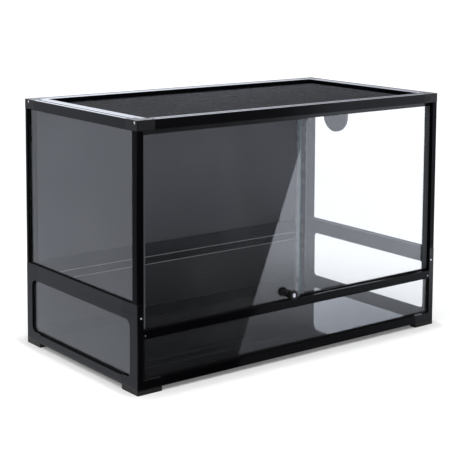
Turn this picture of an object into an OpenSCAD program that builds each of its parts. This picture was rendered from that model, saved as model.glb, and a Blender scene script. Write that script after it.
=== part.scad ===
// Knock-down glass terrarium with two sliding doors and a lift-out screen lid.
// Origin: middle of the bounding box on the floor. +X right, +Y to the back, +Z up.
// Corner modules work in a corner's own frame: x and y both run inwards from the outer faces.

/* [Cabinet] */
// Width over the frame
cab_w = 910; // [600:10:1200]
// Depth over the frame
cab_d = 490; // [400:10:600]
// Height from the feet to the top rails
cab_h = 600; // [450:10:900]

/* [Frame] */
// Width of a top rail
rail = 24; // [24:1:28]
// Height of a top rail
rail_h = 22.5; // [22:0.5:26]
// Width of a post's front face
lip_w = 16; // [14:1:17]
// Depth of the bars, and of a rear post's inner side
side_w = 18; // [18:1:20]
// Depth of a front post's side face
front_side = 20; // [18:1:20]
// Depth of a rear post's side face
rear_side = 12; // [11:1:18]
// Radius of an upper post's outer corner
post_r = 4; // [3:0.5:5]
// Radius of the connectors' outer corners
corner_r = 2.5; // [1:0.5:3]
// Length of a top connector's arms
top_arm = 46; // [40:1:60]
// Length of a middle connector's arms
mid_arm = 59; // [50:1:70]
// Length of a foot's arms
foot_arm = 64; // [56:1:80]
// Height of the seam between the lower module and the middle ring
seam_z = 177; // [170:1:185]
// Height of the middle ring
mid_h = 23.5; // [23.5:0.5:28]
// Height of a side lower top bar
low_bar_h = 15; // [14:1:16]
// Height of the rear lower top bar
low_rear_h = 31; // [31:1:35]
// Underside of the base bars above the floor
base_z = 11; // [8:1:11]
// Height of a base bar
base_h = 20; // [20:0.5:24]
// Underside of the front mid rail
track_z = 123; // [120:1:125]
// Height of the front mid rail
track_h = 20; // [20:1:22]
// Width of a lower post's plate
plate_w = 31; // [28:1:36]
// Width of a rear lower post's side plate
rear_plate_w = 26; // [24:1:36]
// Radius of the lower side window's upper corners
window_r_top = 18; // [8:1:20]
// Radius of the lower side window's lower corners
window_r_bottom = 12; // [6:1:14]

/* [Glazing] */
// Thickness of every fixed pane and panel
glass_t = 4; // [3:0.5:4]
// Recess of the panes behind the frame's outer faces
glass_in = 5.5; // [5:0.5:5.5]
// Level of the floor panel's top
floor_z = 18; // [18:0.5:18]
// Width of the glazing gasket
gasket_w = 2; // [1.5:0.5:4]

/* [Doors] */
// Right edge of the left, outer door from the middle
door_edge_left = 6; // [4:1:12]
// Left edge of the right, inner door from the middle
door_edge_right = 1; // [0:1:2]
// Visible height of a door's top guide
guide_show = 10.5; // [6:0.5:12]
// Width of the dust seal at the overlap
seal_w = 26; // [16:1:30]

/* [Lock] */
// Diameter of the knob
knob_d = 22; // [18:1:24]
// Distance from the middle to the knob's axis
knob_x = 29; // [28:1:31]
// Height of the knob's axis
knob_z = 157; // [156:1:160]
// How far the knob stands in front of the frame
knob_out = 17; // [15:1:20]
// Length of the cam
cam_l = 36; // [35:1:36]

/* [Lid] */
// Depth of the screen below the top rails
lid_drop = 10; // [8:1:12]
// Width of the screen frame's bars
lid_bar = 16; // [10:1:18]

/* [Cable port] */
// Outer diameter of the port's flanges
port_d = 92; // [88:2:104]
// Distance from the front face to the port's axis
port_y = 376; // [280:1:378]
// Height of the port's axis
port_z = 505; // [400:1:510]

/* [Hidden] */
$fn = 48;
eps = 0.01;
fit = 0.25;                                   // gap round a tongue in its socket
half_w = cab_w / 2;
y_mid = knob_out / 2;                         // the knob's stand-out shifts the frame back
front_y = y_mid - cab_d / 2;
rear_y = y_mid + cab_d / 2;
top_z = cab_h - rail_h;                       // underside of the top rails
mid_top = seam_z + mid_h;
slot_a = glass_in - 0.2;                      // a glazing slot runs from slot_a to slot_b
slot_b = glass_in + glass_t + 0.2;
slot_deep = 10;
slot_y = 10;                                  // a slot starts this far from the corner
pane_end = 11;                                // a pane's edge lies this far from the corner
pane_bite = 8;                                // depth of a pane in its slot
rebate_x = slot_b + 1.8;                      // doors run to this distance from the side face
lane_front = [5.5, 12];                       // the outer door's channel, from the front face
lane_rear = [14, 20.5];                       // the inner door's channel
lane_top = top_z + 12;
lane_floor = track_z + 11;
track_d = 24;                                 // depth of the two-lane rails
pane_front = 6.75;                            // front faces of the two door panes
pane_rear = 15.25;
guide_gap = 0.85;                             // door pane to the outside of its guide
guide_low = track_z + track_h + 2;            // top of a door's bottom guide
door_low = lane_floor + 3;
door_high = lane_top - 5.5;
door_side = rebate_x + 1;                     // outer edge of each door from the side face
seal_t = 1.5;
seam = 0.8;                                   // joint lines between frame parts
ledge = [30, 1.5, 2.5];                       // lid ledge: reach, height in the rail, thickness
wall = 2.5;
core_side = [12, 3, 9.5, rail_h - 5.5];       // rail cores: u, v, width, height
core_rear = [12, 12, 9.5, rail_h - 14.5];     // upper half of the rear rail's core
core_front = [3, 13.5, 18, rail_h - 16.5];
core_mid = [3, 3, 12, 9];
core_base = [3, 2.5, 6.5, 5.5];
core_low = [11, 3, 4.5, low_bar_h - 6];
core_track = [13.5, 1.5, 6.5, 8];
key_len = 10;                                 // length of a tongue that stays in its rail
screw_z = top_z + 16.5;
head_r = 4;
head_t = 2.2;
shank_r = 2;
front_screw = [10, seam_z - 7];                // x and z of the screw on a lower post's face
track_screw = [lip_w + 5, track_z + 7];
floor_t = 4;
floor_edge = 12;                              // floor panel's edge from the frame's outer faces
case_gap = 0.8;                               // lock to the front mid rail
plate_t = 1.2;
case_t = 7;
spindle_r = 5;
cam_t = 2;
cam_y = pane_front + glass_t + 0.4;
cam_rest = -5;                                // angle of the unlocked cam above level
cam_clear = 0.8;                              // from the turning cam to the catch
catch_size = [7, 12];
catch_low = knob_z + sqrt(pow(cam_l + cam_clear, 2) - pow(knob_x + door_edge_right, 2));
lid_top = cab_h - lid_drop;
lid_t = 8.4;
lid_in = rail + 0.6;
mesh_t = 0.8;
mesh_hold = 3.8;                              // the screen's edge in its frame
rear_lip = 31;                                // depth of the rear posts' lip inside the side panes
port_bore = port_d / 2 - 6;
port_hole = port_d / 2 - 3;
port_flange = 3;
port_spot = 24;                               // radius at which the cable holes lie
port_cable_r = 9;

CORNERS = ["fl", "fr", "rl", "rr"];

frame_black = [0.06, 0.06, 0.065];
moulded_black = [0.11, 0.11, 0.12];
clear_glass = [0.72, 0.85, 0.84, 0.25];

// ---- placing helpers ----

function is_right(c) = c[1] == "r";
function is_rear(c) = c[0] == "r";

// Corner frame: x and y inwards from the outer faces.
module at_corner(c) {
    translate([is_right(c) ? half_w : -half_w, is_rear(c) ? rear_y : front_y, 0])
        mirror([is_right(c) ? 1 : 0, 0, 0])
            mirror([0, is_rear(c) ? 1 : 0, 0])
                children();
}

// Side frame: x inwards from the left or right face, y and z as in the row.
module at_side(right) {
    translate([right ? half_w : -half_w, 0, 0])
        mirror([right ? 1 : 0, 0, 0])
            children();
}

// End frame: y inwards from the front or rear face.
module at_end(rear) {
    translate([0, rear ? rear_y : front_y, 0])
        mirror([0, rear ? 1 : 0, 0])
            children();
}

// A (u, v) outline with u inwards and v up, run along Y.
module run_y(y0, y1, z = 0) {
    translate([0, y1, z]) rotate([90, 0, 0]) linear_extrude(y1 - y0) children();
}

// The same outline run along X.
module run_x(x0, x1, z = 0) {
    translate([x0, 0, z]) rotate([90, 0, 90]) linear_extrude(x1 - x0) children();
}

module block(a, b) {
    translate(a) cube(b - a);
}

// Joint lines at the ends of a connector's two arms, on the outer faces.
module arm_seams(arm, z0, z1) {
    block([-1, arm - seam, z0], [seam, arm + 1, z1]);
    block([arm - seam, -1, z0], [arm + 1, seam, z1]);
}

// Waste outside a rounded outer corner.
module outer_corner_2d(r) {
    difference() {
        translate([-eps, -eps]) square(r);
        translate([r, r]) circle(r);
    }
}

module core_2d(core, grow = 0) {
    translate([core[0] - grow, core[1] - grow]) square([core[2] + 2 * grow, core[3] + 2 * grow]);
}

// A core's tongue or socket: it fills the core, or is larger by grow.
module tongue_y(core, y0, y1, z, grow = 0) {
    run_y(y0, y1, z) core_2d(core, grow);
}

module tongue_x(core, x0, x1, z, grow = 0) {
    run_x(x0, x1, z) core_2d(core, grow);
}

// Window outline with its own radii above and below.
module window_2d(a0, a1, b0, b1, r_top, r_bottom) {
    translate([a0, b0 + r_bottom]) square([a1 - a0, b1 - b0 - r_top - r_bottom]);
    translate([a0 + r_bottom, b0]) square([a1 - a0 - 2 * r_bottom, r_bottom + eps]);
    translate([a0 + r_top, b1 - r_top - eps]) square([a1 - a0 - 2 * r_top, r_top + eps]);
    for (a = [a0 + r_bottom, a1 - r_bottom]) translate([a, b0 + r_bottom]) circle(r_bottom);
    for (a = [a0 + r_top, a1 - r_top]) translate([a, b1 - r_top]) circle(r_top);
}

// ---- rail outlines ----

module slot_2d(v0, deep) {
    translate([slot_a, v0]) square([slot_b - slot_a, deep]);
}

module ledge_2d() {
    translate([rail - wall, ledge[1]]) square([ledge[0] - rail + wall, ledge[2]]);
}

module top_groove_2d() {
    translate([rail / 2 - 3, rail_h - 1]) square([6, 2]);
}

module top_side_2d() {
    difference() {
        square([rail, rail_h]);
        slot_2d(-1, slot_deep + 1);
        core_2d(core_side);
        top_groove_2d();
    }
    ledge_2d();
}

module lanes_2d(v0, v1) {
    for (lane = [lane_front, lane_rear])
        translate([lane[0], v0]) square([lane[1] - lane[0], v1 - v0]);
}

module top_front_2d() {
    difference() {
        square([rail, rail_h]);
        lanes_2d(-1, lane_top - top_z);
        core_2d(core_front);
        top_groove_2d();
    }
    ledge_2d();
}

module mid_2d() {
    difference() {
        square([side_w, mid_h]);
        translate([-eps, -eps]) square(seam);
        slot_2d(mid_h - slot_deep, slot_deep + 1);
        core_2d(core_mid);
    }
}

module low_2d(h, core) {
    difference() {
        square([side_w, h]);
        slot_2d(-1, slot_deep + 1);
        core_2d(core);
    }
}

module base_2d() {
    difference() {
        square([side_w, base_h]);
        slot_2d(base_h - slot_deep, slot_deep + 1);
        core_2d(core_base);
        translate([floor_edge - 0.2, floor_z - floor_t - 0.2 - base_z])
            square([side_w, floor_t + 0.4]);
    }
}

module track_2d() {
    difference() {
        square([track_d, track_h]);
        lanes_2d(lane_floor - track_z, track_h + 1);
        slot_2d(-1, 6);
        core_2d(core_track);
    }
}

// ---- top frame ----

module side_top_rail(right) {
    color(frame_black) at_side(right) difference() {
        union() {
            run_y(front_y + top_arm, rear_y - top_arm, top_z) top_side_2d();
            for (span = [[front_y + rail + 0.5, front_y + top_arm + key_len],
                         [rear_y - top_arm - key_len, rear_y - rail - 0.5]])
                tongue_y(core_side, span[0], span[1], top_z);
        }
    }
}

module end_top_rail(rear) {
    core = rear ? core_rear : core_front;
    color(frame_black) at_end(rear) difference() {
        union() {
            run_x(top_arm - half_w, half_w - top_arm, top_z)
                if (rear) top_side_2d(); else top_front_2d();
            for (s = [-1, 1]) {
                x = s < 0 ? [4 - half_w, top_arm + key_len - half_w]
                          : [half_w - top_arm - key_len, half_w - 4];
                tongue_x(core, x[0], x[1], top_z);
            }
        }
        for (s = [-1, 1])
            translate([s * (half_w - 12), end_screw_y(rear), screw_z])
                rotate([0, 90, 0]) cylinder(h = 20, r = shank_r + 0.05, center = true);
    }
}

// Distance of a top screw from the front or rear face.
function end_screw_y(rear) = rear ? 16.75 : 12;

module top_corner(c) {
    rear = is_rear(c);
    core = rear ? core_rear : core_front;
    color(moulded_black) at_corner(c) difference() {
        union() {
            block([0, 0, top_z], [top_arm, rail, cab_h]);
            block([0, 0, top_z], [rail, top_arm, cab_h]);
            z0 = top_z + ledge[1];
            block([rail - wall, rail - wall, z0], [ledge[0], top_arm, z0 + ledge[2]]);
            block([rail - wall, rail - wall, z0], [top_arm, ledge[0], z0 + ledge[2]]);
        }
        tongue_y(core_side, rail + 0.2, top_arm + 1, top_z, fit);
        tongue_x(core, 4 - fit, top_arm + 1, top_z, fit);
        block([slot_a, slot_y, top_z - 1], [slot_b, top_arm + 1, top_z + slot_deep]);
        if (rear)
            block([slot_y, slot_a, top_z - 1], [top_arm + 1, slot_b, top_z + slot_deep]);
        else
            for (lane = [lane_front, lane_rear])
                block([rebate_x, lane[0], top_z - 1], [top_arm + 1, lane[1], lane_top]);
        translate([-1, end_screw_y(rear), screw_z]) rotate([0, 90, 0]) {
            cylinder(h = 6, r = shank_r + 0.1);
            cylinder(h = 1 + head_t, r = head_r + 0.3);
        }
        translate([top_arm - 5, rail - 5, cab_h - 2]) cylinder(h = 3, r = 2.2);
        translate([0, 0, top_z - 1]) linear_extrude(rail_h + 2) outer_corner_2d(corner_r);
        arm_seams(top_arm, top_z - 1, cab_h + 1);
        block([-1, top_arm - seam, cab_h - seam], [rail + 1, top_arm + 1, cab_h + 1]);
        block([top_arm - seam, -1, cab_h - seam], [top_arm + 1, rail + 1, cab_h + 1]);
        // three plain grip grooves on the front or rear face
        for (i = [0:2])
            block([top_arm - 16 + 4 * i, -1, top_z + 5], [top_arm - 14.6 + 4 * i, 0.6, cab_h - 5]);
    }
}

// ---- upper posts ----

module front_post_2d() {
    difference() {
        union() {
            square([lip_w, lane_front[0]]);
            square([rebate_x, track_d]);
        }
        translate([slot_a, slot_y]) square([slot_b - slot_a, track_d]);
        translate([-1, front_side]) square([slot_a + 1 + eps, track_d]);
        outer_corner_2d(post_r);
    }
}

module rear_post_2d() {
    difference() {
        union() {
            square([side_w, side_w]);
            translate([slot_b, 0]) square([side_w - slot_b, rear_lip]);
        }
        translate([slot_a, slot_y]) square([slot_b - slot_a, side_w]);
        translate([-1, rear_side]) square([slot_a + 1 + eps, side_w]);
        translate([slot_y, slot_a]) square([side_w, slot_b - slot_a]);
        outer_corner_2d(post_r);
    }
}

module post(c) {
    color(frame_black) at_corner(c) translate([0, 0, mid_top]) linear_extrude(top_z - mid_top)
        if (is_rear(c)) rear_post_2d(); else front_post_2d();
}

// ---- middle ring ----

module mid_corner(c) {
    rear = is_rear(c);
    color(moulded_black) at_corner(c) difference() {
        union() {
            block([0, 0, seam_z], [side_w, mid_arm, mid_top]);
            if (rear) block([0, 0, seam_z], [mid_arm, side_w, mid_top]);
        }
        block([slot_a, slot_y, mid_top - slot_deep], [slot_b, mid_arm + 1, mid_top + 1]);
        tongue_y(core_mid, mid_arm - 25 - fit, mid_arm + 1, seam_z, fit);
        translate([0, 0, seam_z - 1]) linear_extrude(mid_h + 2) outer_corner_2d(corner_r);
        arm_seams(mid_arm, seam_z - 1, mid_top + 1);
        block([-1, -1, seam_z - 1], [seam, mid_arm + 1, seam_z + seam]);
        block([-1, -1, seam_z - 1], [mid_arm + 1, seam, seam_z + seam]);
        if (rear) {
            block([slot_y, slot_a, mid_top - slot_deep], [mid_arm + 1, slot_b, mid_top + 1]);
            tongue_x(core_mid, mid_arm - 25 - fit, mid_arm + 1, seam_z, fit);
        } else {
            block([lip_w, -1, seam_z - 1], [side_w + 1, track_d, mid_top + 1]);
            block([rebate_x, lane_front[0], seam_z - 1], [side_w + 1, track_d, mid_top + 1]);
        }
    }
}

module side_mid_bar(right) {
    color(frame_black) at_side(right) {
        run_y(front_y + mid_arm, rear_y - mid_arm, seam_z) mid_2d();
        for (span = [[front_y + mid_arm - 25, front_y + mid_arm + key_len],
                     [rear_y - mid_arm - key_len, rear_y - mid_arm + 25]])
            tongue_y(core_mid, span[0], span[1], seam_z);
    }
}

module rear_mid_bar() {
    color(frame_black) at_end(true) {
        run_x(mid_arm - half_w, half_w - mid_arm, seam_z) mid_2d();
        for (s = [-1, 1]) {
            x = s < 0 ? [mid_arm - 25 - half_w, mid_arm + key_len - half_w]
                      : [half_w - mid_arm - key_len, half_w - mid_arm + 25];
            tongue_x(core_mid, x[0], x[1], seam_z);
        }
    }
}

// ---- lower module ----

low_bar_z = seam_z - low_bar_h;
low_rear_z = seam_z - low_rear_h;
base_top = base_z + base_h;
core_low_rear = [3, low_rear_h - 12, 12, 9];
foot_top = base_top + 3;
foot_cut = 0.8;
low_key = 20;                                 // length of a tongue in a lower post

// A lower post seen square on: top arm, plate and foot, with the window cut out.
module plate_2d(arm_z, width) {
    difference() {
        union() {
            translate([0, foot_cut]) square([mid_arm, seam_z - foot_cut]);
            polygon([[0, 0], [foot_arm - foot_cut, 0], [foot_arm, foot_cut],
                     [foot_arm, foot_top], [0, foot_top]]);
        }
        window_2d(width, width + 200, foot_top, arm_z, window_r_top, window_r_bottom);
    }
}

module lower_post(c) {
    rear = is_rear(c);
    color(moulded_black) at_corner(c) difference() {
        union() {
            run_y_local(slot_a) plate_2d(low_bar_z, rear ? rear_plate_w : plate_w);
            block([0, 0, low_bar_z], [side_w, mid_arm, seam_z]);
            foot_block();
            block([0, 0, 0], [rear ? side_w : lip_w, side_w, seam_z]);
            if (rear) {
                run_x_local(slot_a) plate_2d(low_rear_z, plate_w);
                block([0, 0, low_rear_z], [mid_arm, side_w, seam_z]);
            } else {
                block([lip_w - 4, core_track[0] + fit, track_z + core_track[1] + fit],
                      [lip_w + 13, core_track[0] + core_track[2] - fit, lane_floor - 2 - fit]);
            }
        }
        // glazing slots
        block([slot_a, slot_y, base_top - slot_deep], [slot_b, foot_arm + 1, low_bar_z + slot_deep]);
        if (rear) {
            block([slot_y, slot_a, base_top - slot_deep],
                  [foot_arm + 1, slot_b, low_rear_z + slot_deep]);
            tongue_x(core_low_rear, mid_arm - low_key - fit, mid_arm + 1, low_rear_z, fit);
            translate([-1, 15, 140]) rotate([0, 90, 0]) cylinder(h = 5, r = 2.5);
        } else {
            block([rebate_x, slot_a, base_top - slot_deep], [foot_arm + 1, slot_b, track_z + 5]);
            block([rebate_x, lane_front[0], lane_floor - 1], [side_w + 1, track_d, seam_z + 1]);
            block([lip_w, -1, low_bar_z - 1], [side_w + 1, track_d, seam_z + 1]);
            translate([front_screw[0], -1, front_screw[1]]) rotate([-90, 0, 0]) {
                cylinder(h = 1 + 1.6, r = 3.1);
                cylinder(h = 6.2, r = 1.6);
            }
            translate([track_screw[0], 10, track_screw[1]]) rotate([-90, 0, 0])
                cylinder(h = 9, r = 1.3);
        }
        // sockets of the bars, and the floor panel's corner
        tongue_y(core_low, mid_arm - low_key - fit, mid_arm + 1, low_bar_z, fit);
        tongue_y(core_base, foot_arm - low_key - fit, foot_arm + 1, base_z, fit);
        tongue_x(core_base, foot_arm - low_key - fit, foot_arm + 1, base_z, fit);
        block([floor_edge - 0.2, floor_edge - 0.2, floor_z - floor_t - 0.2],
              [foot_arm + 1, foot_arm + 1, floor_z + 0.2]);
        translate([0, 0, -1]) linear_extrude(seam_z + 2) outer_corner_2d(corner_r);
        arm_seams(mid_arm, rear ? low_rear_z - 1 : low_bar_z - 1, seam_z + 1);
        arm_seams(foot_arm, -1, foot_top + 1);
    }
}

// Foot: an L of two arms with chamfered ends.
module foot_block() {
    run_y_local(side_w) foot_2d();
    run_x_local(side_w) foot_2d();
}

module foot_2d() {
    polygon([[0, 0], [foot_arm - foot_cut, 0], [foot_arm, foot_cut], [foot_arm, base_top], [0, base_top]]);
}

// An outline seen square on from the side (a = y) or from the end (a = x), t thick inwards.
module run_y_local(t) {
    rotate([90, 0, 90]) linear_extrude(t) children();
}

module run_x_local(t) {
    translate([0, t, 0]) rotate([90, 0, 0]) linear_extrude(t) children();
}

module side_low_bar(right) {
    color(frame_black) at_side(right) {
        run_y(front_y + mid_arm, rear_y - mid_arm, low_bar_z) low_2d(low_bar_h, core_low);
        for (span = [[front_y + mid_arm - low_key, front_y + mid_arm + key_len],
                     [rear_y - mid_arm - key_len, rear_y - mid_arm + low_key]])
            tongue_y(core_low, span[0], span[1], low_bar_z);
    }
}

module rear_low_bar() {
    color(frame_black) at_end(true) {
        run_x(mid_arm - half_w, half_w - mid_arm, low_rear_z) low_2d(low_rear_h, core_low_rear);
        for (s = [-1, 1]) {
            x = s < 0 ? [mid_arm - low_key - half_w, mid_arm + key_len - half_w]
                      : [half_w - mid_arm - key_len, half_w - mid_arm + low_key];
            tongue_x(core_low_rear, x[0], x[1], low_rear_z);
        }
    }
}

module side_base_bar(right) {
    color(frame_black) at_side(right) {
        run_y(front_y + foot_arm, rear_y - foot_arm, base_z) base_2d();
        for (span = [[front_y + foot_arm - low_key, front_y + foot_arm + key_len],
                     [rear_y - foot_arm - key_len, rear_y - foot_arm + low_key]])
            tongue_y(core_base, span[0], span[1], base_z);
    }
}

module end_base_bar(rear) {
    color(frame_black) at_end(rear) {
        run_x(foot_arm - half_w, half_w - foot_arm, base_z) base_2d();
        for (s = [-1, 1]) {
            x = s < 0 ? [foot_arm - low_key - half_w, foot_arm + key_len - half_w]
                      : [half_w - foot_arm - key_len, half_w - foot_arm + low_key];
            tongue_x(core_base, x[0], x[1], base_z);
        }
    }
}

module door_track() {
    color(frame_black) at_end(false) difference() {
        run_x(lip_w - half_w, half_w - lip_w, track_z) track_2d();
        for (s = [-1, 1])
            translate([s * (half_w - track_screw[0]), -1, track_screw[1]]) rotate([-90, 0, 0]) {
                cylinder(h = 1.8, r = 2);
                cylinder(h = 15, r = 1.3);
            }
    }
}

// ---- glazing ----

module side_pane(right, z0, z1) {
    at_side(right) block([glass_in, front_y + pane_end, z0], [glass_in + glass_t, rear_y - pane_end, z1]);
}

module end_pane(rear, z0, z1) {
    at_end(rear) block([pane_end - half_w, glass_in, z0], [half_w - pane_end, glass_in + glass_t, z1]);
}

upper_span = [mid_top - pane_bite, top_z + pane_bite];
lower_span = [base_top - pane_bite, low_bar_z + pane_bite];
lower_rear_span = [base_top - pane_bite, low_rear_z + pane_bite];

module upper_glass(right) {
    color(clear_glass) difference() {
        side_pane(right, upper_span[0], upper_span[1]);
        if (right) at_port() cylinder(h = 20, r = port_hole + 0.1);
    }
}

module lower_glass(right) {
    color(clear_glass) side_pane(right, lower_span[0], lower_span[1]);
}

module lower_glass_front() {
    color(clear_glass) at_end(false)
        block([rebate_x + 1 - half_w, glass_in, base_top - pane_bite],
              [half_w - rebate_x - 1, glass_in + glass_t, track_z + 4]);
}

module back_panel(span) {
    color(frame_black) end_pane(true, span[0], span[1]);
}

module floor_panel() {
    color([0.04, 0.04, 0.045])
        block([floor_edge - half_w, front_y + floor_edge, floor_z - floor_t],
              [half_w - floor_edge, rear_y - floor_edge, floor_z]);
}

gasket_t = 2;

// Gasket outline round a window from a0 to a1 and from b0 to b1, with its bars side wide.
module gasket_2d(a0, a1, b0, b1, side, r_top = 0, r_bottom = 0) {
    difference() {
        window_2d(a0, a1, b0, b1, r_top + eps, r_bottom + eps);
        window_2d(a0 + side, a1 - side, b0 + gasket_w, b1 - gasket_w,
                  max(r_top - gasket_w, 0) + eps, max(r_bottom - gasket_w, 0) + eps);
    }
}

// The same between two feet, whose arms stand a little above the base bar.
module low_gasket_2d(a0, a1, f0, f1, b1, side, r_top = 0, r_bottom = 0) {
    gasket_2d(a0, a1, foot_top, b1, side, r_top, r_bottom);
    translate([f0, base_top]) square([f1 - f0, foot_top + gasket_w - base_top]);
}

// The lower front pane's: both sides and the bottom.
module front_gasket_2d(f0) {
    for (x = [lip_w - half_w, half_w - lip_w - 5])
        translate([x, foot_top]) square([5, track_z - foot_top]);
    translate([lip_w - half_w, foot_top]) square([2 * half_w - 2 * lip_w, gasket_w]);
    translate([f0, base_top]) square([-2 * f0, foot_top + gasket_w - base_top]);
}

// Places a gasket outline against the outer face of the panes.
module side_gasket(right) {
    at_side(right) translate([glass_in - gasket_t, 0, 0]) rotate([90, 0, 90])
        linear_extrude(gasket_t) children();
}

module end_gasket(rear) {
    at_end(rear) translate([0, glass_in, 0]) rotate([90, 0, 0]) linear_extrude(gasket_t) children();
}

module glazing_gaskets() {
    y0 = front_y + plate_w;
    y1 = rear_y - rear_plate_w;
    f0 = foot_arm - half_w;
    color([0.02, 0.02, 0.02]) {
        for (right = [false, true]) {
            side_gasket(right)
                gasket_2d(front_y + front_side, rear_y - rear_side, mid_top, top_z, gasket_w);
            side_gasket(right)
                low_gasket_2d(y0, y1, front_y + foot_arm, rear_y - foot_arm, low_bar_z, gasket_w,
                              window_r_top, window_r_bottom);
        }
        end_gasket(false) front_gasket_2d(f0);
        end_gasket(true)
            gasket_2d(side_w - half_w, half_w - side_w, mid_top, top_z, gasket_w);
        end_gasket(true)
            low_gasket_2d(plate_w - half_w, half_w - plate_w, f0, -f0, low_rear_z, gasket_w,
                          window_r_top, window_r_bottom);
    }
}

// ---- screws ----

module screw(head, head_h, shank, length) {
    translate([0, 0, 0.2]) difference() {
        cylinder(h = head_h, r = head);
        // cross recess
        for (a = [0, 90]) rotate(a) translate([-head * 0.6, -head * 0.12, -1])
            cube([head * 1.2, head * 0.24, 1 + head_h / 2]);
    }
    translate([0, 0, 0.1 + head_h]) cylinder(h = length, r = shank);
}

module frame_screws() {
    color([0.8, 0.8, 0.82]) for (c = CORNERS) at_corner(c) {
        translate([0, end_screw_y(is_rear(c)), screw_z]) rotate([0, 90, 0])
            screw(head_r, head_t - 0.2, shank_r, 18);
        if (!is_rear(c)) {
            translate([front_screw[0], 0, front_screw[1]]) rotate([-90, 0, 0])
                screw(2.8, 1.4, 1.5, 3.3);
            translate([track_screw[0], -0.2, track_screw[1]]) rotate([-90, 0, 0])
                screw(1.8, 0.8, 1.2, 16);
        }
    }
}

// ---- doors ----

door_left_span = [door_side - half_w, door_edge_left];
door_right_span = [door_edge_right, half_w - door_side];

module door_pane(span, y) {
    at_end(false) block([span[0], y, door_low], [span[1], y + glass_t, door_high]);
}

// Top and bottom guides: channels that grip the pane's edges.
module door_guides(span, y) {
    y0 = y - guide_gap;
    y1 = y + glass_t + guide_gap;
    color(moulded_black) at_end(false) difference() {
        union() {
            block([span[0], y0, top_z - guide_show], [span[1], y1, lane_top - 1.5]);
            block([span[0], y0, lane_floor + 0.5], [span[1], y1, guide_low]);
        }
        block([span[0] - 1, y, door_low], [span[1] + 1, y + glass_t, door_high]);
    }
}

// Edge trim: a channel on the pane's outer upright edge.
module door_trim(x_edge, inward, width, y) {
    far = x_edge + inward * width;
    back = x_edge - inward * 0.5;
    y1 = y + glass_t + guide_gap;
    color(moulded_black) at_end(false) difference() {
        block([min(back, far), y - guide_gap, guide_low], [max(back, far), y1, top_z - guide_show]);
        block([min(x_edge, far + inward), y, 0], [max(x_edge, far + inward), y + glass_t, cab_h]);
    }
}

module door_left_glass() {
    color(clear_glass) difference() {
        door_pane(door_left_span, pane_front);
        at_knob() cylinder(h = 40, r = spindle_r + 1.5);
    }
}

module door_right_glass() {
    color(clear_glass) door_pane(door_right_span, pane_rear);
}

// Dust seal: a strip in front of the inner pane's edge, with a lip round the edge.
module door_right_seal() {
    low = lane_floor + 13;
    high = top_z - guide_show - 1;
    x = door_edge_right;
    color([0.1, 0.11, 0.12, 0.7]) at_end(false) {
        block([x - seal_t, pane_rear - seal_t, low], [x + seal_w, pane_rear, high]);
        block([x - seal_t, pane_rear - seal_t, low], [x, pane_rear + glass_t, high]);
    }
}

// ---- lock ----

// Knob frame: z points into the cabinet from the front face, on the knob's axis.
module at_knob() {
    translate([-knob_x, front_y - knob_out, knob_z]) rotate([-90, 0, 0]) children();
}

// Outline of the case; its points are (centre x, centre z, radius).
CASE = [[-knob_x, knob_z, 13], [-26, 134, 8], [11, 138, 7]];

module case_solid(y0, y1, grow) {
    hull() for (p = CASE)
        translate([p[0], y1, p[1]]) rotate([90, 0, 0]) cylinder(h = y1 - y0, r = p[2] + grow, $fn = 32);
}

module lock_case() {
    y1 = -case_gap - plate_t;
    color([0.03, 0.03, 0.03]) difference() {
        union() {
            at_end(false) case_solid(y1 - case_t, y1, 0);
            at_knob() translate([0, 0, knob_out + y1 - 1]) cylinder(h = pane_front - y1 + 1, r = 9);
        }
        at_knob() cylinder(h = 60, r = spindle_r + 0.05);
    }
}

module lock_plate() {
    y1 = -case_gap;
    color([0.75, 0.76, 0.78]) difference() {
        at_end(false) case_solid(y1 - plate_t, y1, 1.4);
        at_knob() cylinder(h = 60, r = 9.2);
    }
}

module lock_knob() {
    knob_t = knob_out - case_gap - plate_t - case_t - 0.3;
    color([0.02, 0.02, 0.02]) at_knob() {
        difference() {
            cylinder(h = knob_t, r = knob_d / 2);
            for (i = [0:17]) rotate(20 * i) translate([knob_d / 2 + 0.4, 0, -1])
                cylinder(h = knob_t + 2, r = 1, $fn = 16);
            translate([-6, -0.8, -1]) cube([12, 1.6, 2.2]);
        }
        translate([0, 0, knob_t - 1]) cylinder(h = knob_out + cam_y - knob_t + 1, r = spindle_r);
    }
}

module lock_cam() {
    color([0.75, 0.76, 0.78]) translate([-knob_x, front_y + cam_y, knob_z]) rotate([-90, 0, 0])
        linear_extrude(cam_t) {
            circle(7);
            rotate(-cam_rest) translate([0, -5]) square([cam_l - 5, 10]);
            rotate(-cam_rest) translate([cam_l - 5, 0]) circle(5);
        }
}

module lock_catch() {
    color([0.75, 0.76, 0.78]) at_end(false)
        block([door_edge_right, cam_y + 0.25, catch_low],
              [door_edge_right + catch_size[0], pane_rear - seal_t, catch_low + catch_size[1]]);
}

// ---- lid ----

module lid_plate(inset, z0, z1) {
    block([inset - half_w, front_y + inset, z0], [half_w - inset, rear_y - inset, z1]);
}

mesh_z = lid_top - 1.8;

// Rim level with the rails at the sides and rear.
module lid_rim() {
    inner = lid_in + lid_bar;
    difference() {
        lid_plate(lid_in, lid_top - 1, cab_h);
        block([inner - half_w, front_y, lid_top - 2], [half_w - inner, rear_y - inner, cab_h + 1]);
    }
}

module lid_frame() {
    color(frame_black) difference() {
        union() {
            lid_plate(lid_in, lid_top - lid_t, lid_top);
            lid_rim();
        }
        lid_plate(lid_in + lid_bar, lid_top - lid_t - 1, lid_top + 1);
        lid_plate(lid_in + lid_bar - mesh_hold - 0.2, mesh_z - 0.1, mesh_z + mesh_t + 0.1);
    }
}

// The screen as a thin closed sheet, which stands for fine woven wire.
module lid_mesh() {
    color([0.25, 0.25, 0.27]) lid_plate(lid_in + lid_bar - mesh_hold, mesh_z, mesh_z + mesh_t);
}

// ---- cable port ----

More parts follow.
